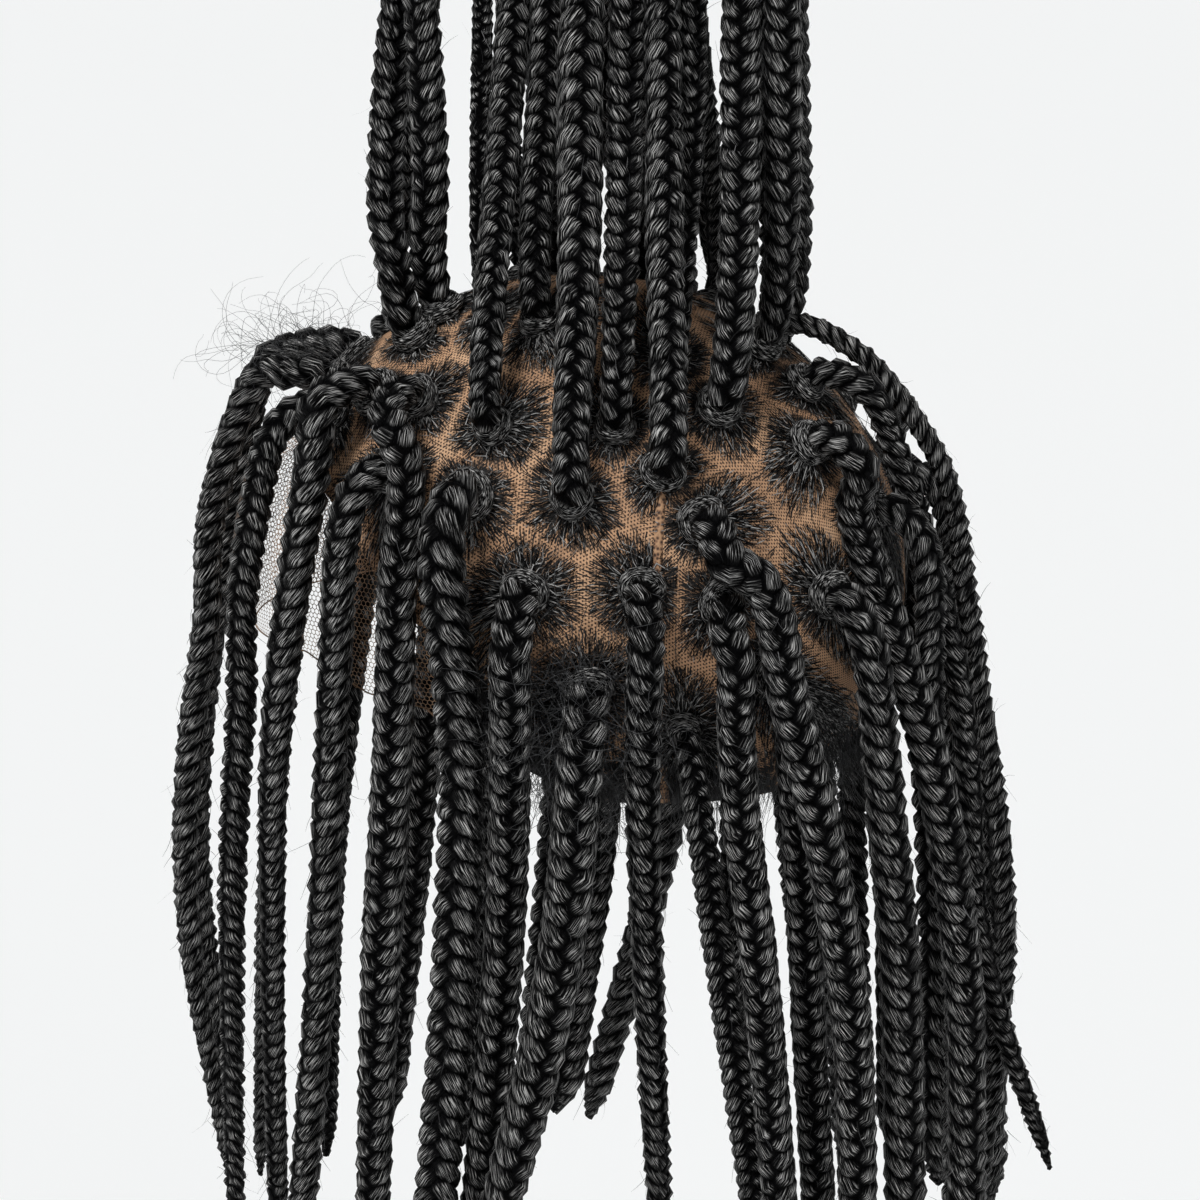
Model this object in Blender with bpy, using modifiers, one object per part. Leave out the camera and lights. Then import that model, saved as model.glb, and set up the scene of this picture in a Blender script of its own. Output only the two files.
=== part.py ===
"""Braid wig.

Two lace panels are sewn into one cap along a seam over the crown. Long plaits are rooted all over it:
most hang loose, and the ones on top are gathered upwards in three bunches, each held by an elastic tie.

The origin is the inside of the crown, where the cap sits. +Z is up, the open face looks towards -Y and
the wearer's left is +X. The tables are in millimetres and degrees, and the model is in metres.
"""

from collections import namedtuple

import bmesh
import bpy
import numpy as np

MM = 0.001

# Cap: the inside of the crown is half an ellipsoid, sized for a medium head of about 57 cm round
CAP_HALF_WIDTH = 77.0
CAP_HALF_LENGTH = 100.0
CAP_CROWN_HEIGHT = 92.0
LACE_THICKNESS = 1.0
CAP_COLUMNS = 32
CAP_RINGS = 12
SEAM_BACK = 35.0
SEAM_GAP = 0.5

# Untrimmed front edge: it leaves the forehead at the hairline and stands off it
FRONT_STANDOFF = 10.0
FRONT_SPREAD = 58.0
HAIRLINE_DOWN = 58.0

# Plaits
GAP = 0.3
PACKING_GAP = 0.5
ROOT_NARROWING = 0.5
TIP_NARROWING = 0.35
TIP_LENGTH = 12.0
ROOT_STEPS = (0.0, 8.0, 16.0, 26.0, 40.0)
STEP = 37.0
EAR_HEIGHT = -125.0
JAW_HEIGHT = -200.0
LONGEST_DROP = -318.0

# Elastic ties
TIE_HEIGHT = 106.0
TIE_THICKNESS = 2.5
TIE_CORNERS = 16
TIE_NARROWING = 0.85
TIE_GAP = 0.8
TOP_ABOVE_TIE = 13.0

# Angles are round the head from the forehead to the wearer's left, and down from the crown
Edge = namedtuple("Edge", "around down")
CAP_EDGE = (
    Edge(0, 100),
    Edge(40, 100),
    Edge(55, 106),
    Edge(68, 107),
    Edge(86, 126),
    Edge(120, 129),
    Edge(180, 130),
)

# Loose plaits of the left side, front to back. "over" is the top of an arch, ear and jaw are places at
# fixed heights, widths are at the root, jaw and tip, and twin is how far back the right side's copy sits.
Hanging = namedtuple("Hanging", "name around down over ear jaw tip widths twin")
HANGING = (
    Hanging("front_plait_1", 17, 50, (19, -97, -28), (20, -119), (19, -125), (16, -112, -300), (13, 11, 6), -6),
    Hanging("front_plait_2", 31, 54, (45, -91, -57), (46, -99), (36, -106), (27, -109, -312), (11, 10, 7), -5),
    Hanging("front_plait_3", 42, 48, (58, -72, -45), (61, -84), (48, -90), (38, -92, -308), (14, 9, 7), -2),
    Hanging("temple_plait_1", 59, 62, None, (68, -65), (61, -71), (55, -81, -300), (12, 12, 11), 4),
    Hanging("temple_plait_2", 56, 47, (72, -43, -55), (79, -44), (72, -50), (66, -56, -312), (12, 13, 10), 2),
    Hanging("temple_plait_3", 76, 65, None, (86, -22), (82, -24), (76, -33, -305), (15, 15, 13), 3),
    Hanging("ear_plait_1", 88, 82, None, (88, -6), (80, -12), (72, -25, -300), (13, 13, 12), 2),
    Hanging("ear_plait_2", 99, 100, None, None, (88, 7), (89, -20, -308), (14, 15, 12), 6),
    Hanging("ear_plait_3", 108, 81, None, (84, 33), (78, 34), (70, 38, -305), (12, 11, 8), 3),
    Hanging("nape_plait_1", 116, 108, None, None, (68, 55), (60, 68, -300), (9, 10, 9), 2),
    Hanging("nape_plait_2", 122, 84, None, (78, 60), (74, 68), (66, 76, -308), (12, 12, 11), 0),
    Hanging("nape_plait_3", 132, 98, None, None, (56, 79), (48, 84, -300), (11, 11, 11), 0),
    Hanging("back_plait_1", 120, 69, (77, 56, -66), (73, 78), (66, 93), (58, 97, -300), (13, 13, 12), -3),
    Hanging("back_plait_2", 145, 85, None, (54, 100), (50, 107), (44, 110, -306), (13, 14, 13), 0),
    Hanging("back_plait_3", 151, 57, (37, 89, -58), (37, 111), (32, 124), (29, 127, -305), (12, 13, 13), 2),
    Hanging("back_plait_4", 163, 72, None, (24, 112), (19, 121), (16, 122, -300), (11, 11, 11), 0),
    Hanging("crown_plait_1", 164, 46, (15, 97, -40), (13, 121), (8, 127), (9, 151, -278), (11, 10, 4), None),
    Hanging("crown_plait_2", 174, 35, (6, 108, -42), (4, 125), (2, 134), (4, 126, -300), (9, 10, 10), None),
)

# Plaits gathered upwards, front to back: the bunch, the place at its tie, and widths at root and tie
Raised = namedtuple("Raised", "name around down bunch top widths twin")
RAISED = (
    Raised("raised_plait_1", 34, 34, "front", (6, -54), (12, 12), None),
    Raised("raised_plait_2", 27, 26.5, "front", (16, -48), (12, 12), None),
    Raised("raised_plait_3", -24, 40, "front", (-4, -48), (10, 11), None),
    Raised("raised_plait_4", 55, 24, "middle", (9, -29), (7, 7), 3),
    Raised("raised_plait_5", 78, 51, "middle", (10, -19), (10, 11), 3),
    Raised("raised_plait_6", 80, 25, "middle", (5, -10), (10, 11), 1),
    Raised("raised_plait_7", 96, 64, "middle", (11, 5), (11, 15), 2),
    Raised("raised_plait_8", 105, 50, "middle", (9, 16), (10, 12), -1),
    Raised("raised_plait_9", 114, 59, "middle", (10, 25), (12, 12), -2),
    Raised("raised_plait_10", 125, 35, "middle", (4, 32), (9, 10), 0),
    Raised("raised_plait_11", 131, 47, "back", (9, 51), (12, 13), 2),
    Raised("raised_plait_12", 162, 36, "back", (6, 61), (11, 13), -1),
)

Plait = namedtuple("Plait", "name places radii bunch")

SEMI_AXES = np.array([CAP_HALF_WIDTH, CAP_HALF_LENGTH, CAP_CROWN_HEIGHT])
CAP_CENTRE = np.array([0.0, 0.0, -CAP_CROWN_HEIGHT])


def smooth_step(value, low, high):
    """Rises softly from 0 at low to 1 at high."""
    t = np.clip((value - low) / (high - low), 0.0, 1.0)
    return t * t * (3.0 - 2.0 * t)


def edge_down(around):
    """How far down the cap's edge lies at an angle round the head."""
    angles = [row.around for row in CAP_EDGE]
    return np.interp(np.abs(around), angles, [row.down for row in CAP_EDGE])


def standoff(around, down):
    """How far the front lace stands off the forehead."""
    sideways = 1.0 - smooth_step(np.abs(around), 0.25 * FRONT_SPREAD, FRONT_SPREAD)
    leaves = smooth_step(down, HAIRLINE_DOWN, HAIRLINE_DOWN + 12.0)
    returns = 1.0 - 0.6 * smooth_step(down, 84.0, 104.0)
    return FRONT_STANDOFF * sideways * leaves * returns


def cap_point(around, down):
    """A point inside the cap, and the direction straight out of it."""
    turn, fall = np.radians(around), np.radians(down)
    unit = np.array([np.sin(fall) * np.sin(turn), -np.sin(fall) * np.cos(turn), np.cos(fall)])
    outward = unit / SEMI_AXES
    outward = outward / np.linalg.norm(outward)
    return CAP_CENTRE + SEMI_AXES * unit + outward * standoff(around, down), outward


def cap_clearance(points):
    """How far points are outside the lace, which way out is, and whether the cap reaches down to them."""
    unit = (points - CAP_CENTRE) / SEMI_AXES
    unit = unit / np.linalg.norm(unit, axis=1)[:, None]
    outward = unit / SEMI_AXES
    outward = outward / np.linalg.norm(outward, axis=1)[:, None]
    foot = CAP_CENTRE + SEMI_AXES * unit
    around = np.degrees(np.arctan2(unit[:, 0], -unit[:, 1]))
    down = np.degrees(np.arccos(np.clip(unit[:, 2], -1.0, 1.0)))
    outside = ((points - foot) * outward).sum(1) - standoff(around, down) - LACE_THICKNESS
    return outside, outward, down < edge_down(around) + 6.0


def smooth_curve(controls, count):
    """Points of a smooth curve that passes through the controls with no loops between them."""
    controls = np.asarray(controls, float)
    ends = np.vstack([2 * controls[0] - controls[1], controls, 2 * controls[-1] - controls[-2]])
    knots = np.concatenate([[0.0], np.cumsum(np.sqrt(np.linalg.norm(np.diff(ends, axis=0), axis=1)))])
    t = np.linspace(0.0, 1.0, count, endpoint=False)[:, None]
    points = []
    for k in range(1, len(ends) - 2):
        slopes = []
        for m in (k, k + 1):
            before = (ends[m] - ends[m - 1]) / (knots[m] - knots[m - 1])
            after = (ends[m + 1] - ends[m]) / (knots[m + 1] - knots[m])
            across = (ends[m + 1] - ends[m - 1]) / (knots[m + 1] - knots[m - 1])
            slopes.append((before - across + after) * (knots[k + 1] - knots[k]))
        starts = (2 * t**3 - 3 * t**2 + 1) * ends[k] + (t**3 - 2 * t**2 + t) * slopes[0]
        points.append(starts + (3 * t**2 - 2 * t**3) * ends[k + 1] + (t**3 - t**2) * slopes[1])
    return np.vstack(points + [ends[-2:-1]])


def along(points):
    """Distance along a line of points."""
    return np.concatenate([[0.0], np.cumsum(np.linalg.norm(np.diff(points, axis=0), axis=1))])


def stations(points, last_step):
    """A few points of a fine curve: close together at the root and before the end, wide elsewhere."""
    distance = along(points)
    total = distance[-1]
    start, stop = ROOT_STEPS[-1], total - last_step
    count = max(2, int(round((stop - start) / STEP)) + 1)
    places = list(ROOT_STEPS[:-1]) + list(np.linspace(start, stop, count)) + [total]
    return np.array([[np.interp(s, distance, points[:, k]) for k in range(3)] for s in places])


def hanging_plait(row, side):
    """A plait that leaves the cap, arches over and hangs. side is 1 on the left, -1 on the right."""
    shift = np.array([0.0, 0.0 if side > 0 else row.twin, 0.0])
    mirror = np.array([side, 1.0, 1.0])
    radius = row.widths[0] / 2.0
    base, outward = cap_point(row.around, row.down)
    controls = [base + outward * (LACE_THICKNESS + GAP), base + outward * (radius + 2.0)]
    rest = []
    if row.over is not None:
        rest.append(np.array(row.over, float))
    if row.ear is not None:
        rest.append(np.array([row.ear[0], row.ear[1], EAR_HEIGHT]))
    rest.append(np.array([row.jaw[0], row.jaw[1], JAW_HEIGHT]))
    rest.append(np.array(row.tip, float))
    towards = rest[0] - controls[1]
    towards = towards - outward * (towards @ outward)
    towards = towards / np.linalg.norm(towards)
    controls.append(base + outward * (2.0 * radius + 5.0) + towards * (radius + 7.0))
    points = np.array([point + shift * (index > 1) for index, point in enumerate(controls + rest)])
    places = stations(smooth_curve(points * mirror, 24), TIP_LENGTH)
    heights = [LONGEST_DROP, JAW_HEIGHT, controls[0][2]]
    widths = [row.widths[2], row.widths[1], row.widths[0]]
    radii = np.interp(places[:, 2], heights, widths) / 2.0
    radii[0] *= ROOT_NARROWING
    radii[-1] *= TIP_NARROWING
    name = row.name if side > 0 else "right_" + row.name
    return Plait(name, places, radii, None)


def raised_plait(row, side):
    """A plait that runs straight up from its root into the tie of its bunch."""
    mirror = np.array([side, 1.0, 1.0])
    radius = row.widths[0] / 2.0
    base, outward = cap_point(row.around, row.down)
    top = np.array([row.top[0], row.top[1] + (0.0 if side > 0 else row.twin), TIE_HEIGHT])
    low, high = top - (0, 0, 18.0), top + (0, 0, TOP_ABOVE_TIE)
    rise = low - base
    rise = rise / np.linalg.norm(rise)
    controls = [base + outward * (LACE_THICKNESS + GAP), base + outward * (radius + 4.0)]
    controls += [base + outward * (radius + 7.0) + rise * 24.0, low, high]
    places = stations(smooth_curve(np.array(controls) * mirror, 24), TOP_ABOVE_TIE)
    widths = np.interp(places[:, 2], [base[2], TIE_HEIGHT - 40.0], row.widths)
    radii = widths / 2.0
    radii[0] *= ROOT_NARROWING
    radii[-2] *= TIE_NARROWING
    radii[-1] *= 0.6
    name = row.name if side > 0 else "right_" + row.name
    return Plait(name, places, radii, row.bunch)


def nearest_between(a, b, c, d):
    """Where the lines a-b and c-d come closest: the share along each, for many pairs at once."""
    u, v, w = b - a, d - c, a - c
    uu, vv, uv = (u * u).sum(1), (v * v).sum(1), (u * v).sum(1)
    uw, vw = (u * w).sum(1), (v * w).sum(1)
    spread = np.maximum(uu * vv - uv * uv, 1e-9)
    s = np.clip((uv * vw - vv * uw) / spread, 0.0, 1.0)
    t = np.clip((uv * s + vw) / vv, 0.0, 1.0)
    s = np.clip((uv * t - uw) / uu, 0.0, 1.0)
    return s, t


def lay_clear(plaits, rounds=400):
    """Moves the plaits apart and off the cap until they only touch, as they do when they hang together."""
    places = np.vstack([plait.places for plait in plaits])
    wanted = places.copy()
    radii = np.concatenate([plait.radii for plait in plaits])
    owner = np.concatenate([[k] * len(plait.places) for k, plait in enumerate(plaits)])
    order = np.concatenate([np.arange(len(plait.places)) for plait in plaits])
    free = (order > 1).astype(float)
    starts = np.nonzero(owner[:-1] == owner[1:])[0]
    first, second = np.triu_indices(len(starts), 1)
    first, second = starts[first], starts[second]
    apart = owner[first] != owner[second]
    first, second = first[apart], second[apart]
    for turn in range(rounds):
        if turn % 20 == 0:
            middle = (places[first] + places[first + 1]) / 2 - (places[second] + places[second + 1]) / 2
            reach = np.linalg.norm(places[first + 1] - places[first], axis=1) / 2
            reach = reach + np.linalg.norm(places[second + 1] - places[second], axis=1) / 2
            close = np.linalg.norm(middle, axis=1) < reach + 30.0
            i, j = first[close], second[close]
        places += 0.02 * (wanted - places) * free[:, None] * (turn < rounds - 150)
        s, t = nearest_between(places[i], places[i + 1], places[j], places[j + 1])
        on_i = places[i] + s[:, None] * (places[i + 1] - places[i])
        on_j = places[j] + t[:, None] * (places[j + 1] - places[j])
        away = on_i - on_j
        distance = np.linalg.norm(away, axis=1)
        room = radii[i] * (1 - s) + radii[i + 1] * s + radii[j] * (1 - t) + radii[j + 1] * t
        short = np.maximum(room + PACKING_GAP - distance, 0.0)
        push = away / np.maximum(distance, 1e-6)[:, None] * (0.5 * short)[:, None]
        move = np.zeros_like(places)
        for index, share, sign in ((i, 1 - s, 1), (i + 1, s, 1), (j, 1 - t, -1), (j + 1, t, -1)):
            np.add.at(move, index, sign * push * share[:, None])
        places += move * free[:, None]
        for share in (0.5, 1.0):
            points = places[starts] * (1 - share) + places[starts + 1] * share
            outside, outward, covered = cap_clearance(points)
            room = radii[starts] * (1 - share) + radii[starts + 1] * share + PACKING_GAP
            short = np.maximum(room - outside, 0.0) * covered
            places[starts] += outward * (short * (1 - share) * free[starts])[:, None]
            places[starts + 1] += outward * (short * free[starts + 1])[:, None]
    cuts = np.cumsum([len(plait.places) for plait in plaits])[:-1]
    return [plait._replace(places=part) for plait, part in zip(plaits, np.split(places, cuts))]


def finish_material(name, colour, roughness):
    """A plain surface of one colour."""
    material = bpy.data.materials.new(name)
    material.use_nodes = True
    shader = material.node_tree.nodes["Principled BSDF"]
    shader.inputs["Base Color"].default_value = (*colour, 1.0)
    shader.inputs["Roughness"].default_value = roughness
    return material


def lace_panel(name, behind_seam, collection):
    """One side of the cap's seam: an open wall, shaped from the upper half of a sphere."""
    mesh = bpy.data.meshes.new(name)
    work = bmesh.new()
    bmesh.ops.create_uvsphere(work, u_segments=CAP_COLUMNS, v_segments=2 * CAP_RINGS, radius=1.0)
    lower = [vertex for vertex in work.verts if vertex.co.z < -1e-4]
    bmesh.ops.delete(work, geom=lower, context="VERTS")
    for vertex in work.verts:
        share = np.degrees(np.arccos(min(vertex.co.z, 1.0))) / 90.0
        around = np.degrees(np.arctan2(vertex.co.x, -vertex.co.y))
        point, _ = cap_point(around, share * edge_down(around))
        vertex.co = point * MM
    side = 1.0 if behind_seam else -1.0
    bmesh.ops.bisect_plane(
        work,
        geom=work.verts[:] + work.edges[:] + work.faces[:],
        dist=1e-6,
        plane_co=(0.0, (SEAM_BACK + side * SEAM_GAP / 2.0) * MM, 0.0),
        plane_no=(0.0, -side, 0.0),
        clear_outer=True,
    )
    bmesh.ops.recalc_face_normals(work, faces=work.faces)
    work.to_mesh(mesh)
    work.free()
    mesh.shade_smooth()
    panel = bpy.data.objects.new(name, mesh)
    collection.objects.link(panel)
    wall = panel.modifiers.new("wall", "SOLIDIFY")
    wall.thickness = LACE_THICKNESS * MM
    wall.offset = 1.0
    mesh.materials.append(finish_material(name + "_lace", (0.48, 0.27, 0.14), 0.8))
    return panel


def tube(name, places, radii, closed, collection, colour):
    """A round strand along a line of places, with closed ends."""
    curve = bpy.data.curves.new(name, "CURVE")
    curve.dimensions = "3D"
    curve.bevel_depth = MM
    curve.bevel_resolution = 2
    curve.use_fill_caps = not closed
    spline = curve.splines.new("POLY")
    spline.points.add(len(places) - 1)
    spline.use_cyclic_u = closed
    for point, place, radius in zip(spline.points, places, radii):
        point.co = (*(np.asarray(place) * MM), 1.0)
        point.radius = radius
    strand = bpy.data.objects.new(name, curve)
    collection.objects.link(strand)
    curve.materials.append(finish_material(name + "_finish", colour, 0.5))
    return strand


def elastic_tie(name, plaits, collection):
    """An elastic that lies round a bunch at the height of the tie, as a stretched band does."""
    centres, reach = [], []
    for plait in plaits:
        for height in (-TIE_THICKNESS / 2.0, 0.0, TIE_THICKNESS / 2.0):
            heights = plait.places[-4:, 2]
            centres.append([np.interp(TIE_HEIGHT + height, heights, plait.places[-4:, k]) for k in (0, 1)])
            reach.append(np.interp(TIE_HEIGHT + height, heights, plait.radii[-4:]))
    centres, reach = np.array(centres), np.array(reach)
    corners = []
    for angle in np.linspace(0.0, 2.0 * np.pi, TIE_CORNERS, endpoint=False):
        outward = np.array([np.cos(angle), np.sin(angle)])
        farthest = np.argmax(centres @ outward + reach)
        corner = centres[farthest] + outward * (reach[farthest] + TIE_GAP + TIE_THICKNESS / 2.0)
        corners.append((corner[0], corner[1], TIE_HEIGHT))
    radii = [TIE_THICKNESS / 2.0] * len(corners)
    return tube(name, corners, radii, True, collection, (0.01, 0.01, 0.011))


def build():
    for item in list(bpy.data.objects):
        bpy.data.objects.remove(item, do_unlink=True)
    collection = bpy.data.collections.new("braid_wig")
    bpy.context.scene.collection.children.link(collection)

    lace_panel("front_lace_panel", False, collection)
    lace_panel("back_lace_panel", True, collection)

    plaits = []
    for side in (1, -1):
        plaits += [hanging_plait(row, side) for row in HANGING if side > 0 or row.twin is not None]
        plaits += [raised_plait(row, side) for row in RAISED if side > 0 or row.twin is not None]
    plaits = lay_clear(plaits)
    for plait in plaits:
        tube(plait.name, plait.places, plait.radii, False, collection, (0.012, 0.012, 0.013))
    for bunch in ("front", "middle", "back"):
        members = [plait for plait in plaits if plait.bunch == bunch]
        elastic_tie(bunch + "_tie", members, collection)


build()
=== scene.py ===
"""Looks of the braid wig: plaited strands, fanned roots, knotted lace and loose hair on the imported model.

Lengths are in millimetres unless a name says otherwise, and become metres where a mesh is made.
"""

import math

import bmesh
import bpy
import numpy as np
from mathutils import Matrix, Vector


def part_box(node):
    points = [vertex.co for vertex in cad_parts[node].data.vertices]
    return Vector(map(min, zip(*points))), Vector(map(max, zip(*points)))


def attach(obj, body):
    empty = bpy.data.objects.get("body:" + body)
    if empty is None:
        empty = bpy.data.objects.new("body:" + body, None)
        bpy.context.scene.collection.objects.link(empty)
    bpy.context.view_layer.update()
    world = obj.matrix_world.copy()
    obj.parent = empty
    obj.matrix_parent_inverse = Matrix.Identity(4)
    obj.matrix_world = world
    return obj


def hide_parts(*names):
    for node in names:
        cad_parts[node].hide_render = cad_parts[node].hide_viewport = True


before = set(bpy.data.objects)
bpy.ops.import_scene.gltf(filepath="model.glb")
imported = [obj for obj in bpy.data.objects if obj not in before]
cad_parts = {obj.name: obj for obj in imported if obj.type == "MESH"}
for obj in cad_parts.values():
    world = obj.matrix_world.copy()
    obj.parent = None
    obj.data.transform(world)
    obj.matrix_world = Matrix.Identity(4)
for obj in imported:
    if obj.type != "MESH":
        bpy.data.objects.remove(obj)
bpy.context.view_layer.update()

MM = 0.001
UP = np.array([0.0, 0.0, 1.0])

# Camera: the view's angles, how far it stands off, and where the cap's centre falls in the image
VIEW_AZIMUTH = 100.0
VIEW_ELEVATION = 15.0
VIEW_DISTANCE = 1600.0
IMAGE_SIZE = 1200.0
PIXELS_PER_MM = 3.2
CAP_CENTRE_PIXEL = (583.0, 570.0)
SENSOR = 36.0

# Studio, in metres: each sun's name, place, width in degrees and strength; then what they shine on
SUNS = (
    ("key", (0.9, -0.4, 1.4), 20.0, 2.65),
    ("fill", (1.2, 1.0, 0.9), 40.0, 0.35),
    ("back", (-1.0, 0.1, 1.2), 40.0, 0.4),
)
SUNS_AIM = (0.0, 0.0, -0.08)
SURROUND_STRENGTH = 0.10
FLOOR_LEVEL = -0.62
FLOOR_HALF_SIZE = 12.0

# Cap: the same inner face as the model's panels. Each line round it has rows of two angles:
# round the head from the brow, and down from the crown
CAP_HALF_WIDTH = 77.0
CAP_HALF_LENGTH = 100.0
CAP_CROWN_HEIGHT = 92.0
LACE_THICKNESS = 0.7
SEAM_BACK = 35.0
FRONT_STANDOFF = 10.0
FRONT_SPREAD = 58.0
STANDOFF_START = 58.0
CAP_EDGE = ((0, 100), (40, 100), (55, 106), (68, 107), (86, 126), (120, 129), (180, 130))
HAIRLINE = ((0, 57), (25, 60), (45, 70), (60, 82), (75, 97), (86, 119), (100, 127), (180, 128))
TEMPLE = 78.0

# Plaits: a full turn of the three-strand pattern takes 1.55 widths of the plait.
# Swings and half sizes of a strand are shares of the plait's radius
STRANDS = 3
TUBE_SIDES = 8
PATTERN_PER_WIDTH = 1.55
NARROWEST_PATTERN = 2.5
STRAND_SIDES = 10
STRAND_STEP = 1.6
SWING_SIDEWAYS = 0.53
SWING_DEEP = 0.34
STRAND_HALF_WIDTH = 0.54
STRAND_HALF_DEPTH = 0.47

# Fuzz on the plaits: hairs for each mm of plait, shortest and longest, and widths from root to tip
FUZZ_PER_MM = 0.55
FUZZ_LENGTHS = (2.0, 9.0)
FUZZ_WIDTHS = (0.16, 0.14, 0.11, 0.06)

# Section hair: knotted over the lace, all of it kept near a parting and a share of it further in.
# The seam is kept clear by a share of the cap's half length. The hair's colour gets the painted highlights
# and painted shade of a strand near its top
KNOTS_PER_MM2 = 0.42
MEAN_HEAD_RADIUS = 90.0
PARTING = 0.45
PARTING_ZONE = 8.0
INNER_SHARE = 0.8
SEAM_CLEAR = 0.012
SECTION_HAIR_WIDTH = 0.24
SECTION_CREST = 0.94

# Roots: hair wound round the base of each plait
WRAP_TURNS = 2.1
WRAP_RISE = 4.2
WRAP_THICKNESS = 2.3

# Elastics round the raised bunches
ELASTIC_THICKNESS = 2.2
ELASTIC_POINTS = 96

# Lace ground: rings of faces of about 3.5 mm that start 2 degrees from the crown, painted with strokes
# that run to the nearest root. Their angle round the root becomes a length as it is 12 mm away
GROUND_COLUMNS = 160
GROUND_ROWS = 58
GROUND_START = 2.0
STROKE_FAN = 12.0
EDGE_MM_PER_DEGREE = 1.6
FAR_FROM_EDGE = 99.0

# Seam: where it ends, in degrees either side of the crown, and its fold's section, across and out
SEAM_SPREAD = 131.0
SEAM_SECTION = ((-2.2, 0.3), (-1.0, 1.15), (0.0, 1.5), (1.0, 1.15), (2.2, 0.3), (0.0, 0.2))

# Loose hair: how many, shortest and longest, thickness, turn at each step, points along each, and droop
BABY_HAIR = {"count": 460, "lengths": (20.0, 52.0), "thick": 0.28, "curl": 0.55, "points": 13, "drop": 0.05}
EDGE_WISPS = {"count": 1560, "lengths": (6.0, 24.0), "thick": 0.22, "curl": 0.30, "points": 7, "drop": 0.08}
BROW_CURLS = {"count": 130, "lengths": (12.0, 42.0), "thick": 0.16, "curl": 0.55, "points": 16, "drop": 0.0}
BABY_HAIR_REACH = 112.0
BROW_CURLS_START = (17.0, -84.0, -22.0)
FRONT_WISPS = 160

# Net of the untrimmed front margin
NET_PITCH = 1.6
NET_THREAD = 0.24
NET_MM_PER_DEGREE = (1.55, 1.62)
NET_MIDDLE_DOWN = 80.0
EDGE_CORD_RADIUS = 0.28
MARGIN_SPREAD = 74.0

SEMI_AXES = np.array([CAP_HALF_WIDTH, CAP_HALF_LENGTH, CAP_CROWN_HEIGHT])
CAP_CENTRE = np.array([0.0, 0.0, -CAP_CROWN_HEIGHT])


def linear(hex_colour):
    """An sRGB hex colour as linear RGBA."""
    parts = [int(hex_colour[k:k + 2], 16) / 255.0 for k in (1, 3, 5)]
    curve = [part / 12.92 if part <= 0.04045 else ((part + 0.055) / 1.055) ** 2.4 for part in parts]
    return (*curve, 1.0)


def smooth_step(value, low, high):
    """0 below low and 1 above high, with a soft start and end."""
    t = np.clip((value - low) / (high - low), 0.0, 1.0)
    return t * t * (3.0 - 2.0 * t)


def unit(vectors):
    """The vectors scaled to a length of one."""
    return vectors / np.maximum(np.linalg.norm(vectors, axis=-1, keepdims=True), 1e-9)


# Shape of the cap


def line_down(table, around):
    """How far down a line on the cap lies, in degrees from the crown, at angles round the head."""
    return np.interp(np.abs(around), [row[0] for row in table], [row[1] for row in table])


def standoff(around, down):
    """How far the front lace stands off the forehead."""
    sideways = 1.0 - smooth_step(np.abs(around), 0.25 * FRONT_SPREAD, FRONT_SPREAD)
    leaves = smooth_step(down, STANDOFF_START, STANDOFF_START + 12.0)
    returns = 1.0 - 0.6 * smooth_step(down, 84.0, 104.0)
    return FRONT_STANDOFF * sideways * leaves * returns


def cap_directions(around, down):
    """Directions on the unit sphere that stretches into the cap."""
    turn, fall = np.radians(around), np.radians(down)
    parts = [np.sin(fall) * np.sin(turn), -np.sin(fall) * np.cos(turn), np.cos(fall)]
    return np.stack(np.broadcast_arrays(*parts), axis=-1)


def cap_angles(directions):
    """Angles round the head and down from the crown, of directions."""
    around = np.degrees(np.arctan2(directions[..., 0], -directions[..., 1]))
    return around, np.degrees(np.arccos(np.clip(directions[..., 2], -1.0, 1.0)))


def on_cap(directions, lift):
    """Points over the cap's inner face, lifted off it, and the way straight out of it there."""
    around, down = cap_angles(directions)
    outward = unit(directions / SEMI_AXES)
    raised = standoff(around, down) + lift
    return CAP_CENTRE + SEMI_AXES * directions + outward * raised[..., None], outward


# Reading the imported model


def flat_patch(face):
    """The corners of the flat patch that a face belongs to."""
    patch, waiting = {face}, [face]
    while waiting:
        for edge in waiting.pop().edges:
            for other in edge.link_faces:
                if other not in patch and other.normal.dot(face.normal) > 0.9999:
                    patch.add(other)
                    waiting.append(other)
    return {vertex for member in patch for vertex in member.verts}


def ring_size(ring):
    """A ring's centre, its radius, and how far from round it is."""
    places = np.array([vertex.co for vertex in ring]) / MM
    reach = np.linalg.norm(places - places.mean(0), axis=1)
    return places.mean(0), reach.mean(), reach.std() / reach.mean()


def plait_line(node):
    """The centre line and radii of a plait's tube, read ring by ring from its root on the cap."""
    work = bmesh.new()
    work.from_mesh(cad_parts[node].data)
    bmesh.ops.remove_doubles(work, verts=work.verts, dist=1e-6)
    patches = [flat_patch(face) for face in work.faces]
    ends = [patch for patch in patches if len(patch) == TUBE_SIDES and ring_size(patch)[2] < 0.03]
    off_cap = [abs(np.linalg.norm((ring_size(end)[0] - CAP_CENTRE) / SEMI_AXES) - 1.0) for end in ends]
    ring = ends[int(np.argmin(off_cap))]
    seen, centres, radii = set(), [], []
    while ring:
        centre, radius, _ = ring_size(ring)
        centres.append(centre)
        radii.append(radius)
        seen |= ring
        ring = {edge.other_vert(vertex) for vertex in ring for edge in vertex.link_edges} - seen
    work.free()
    return np.array(centres), np.array(radii)


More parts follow.
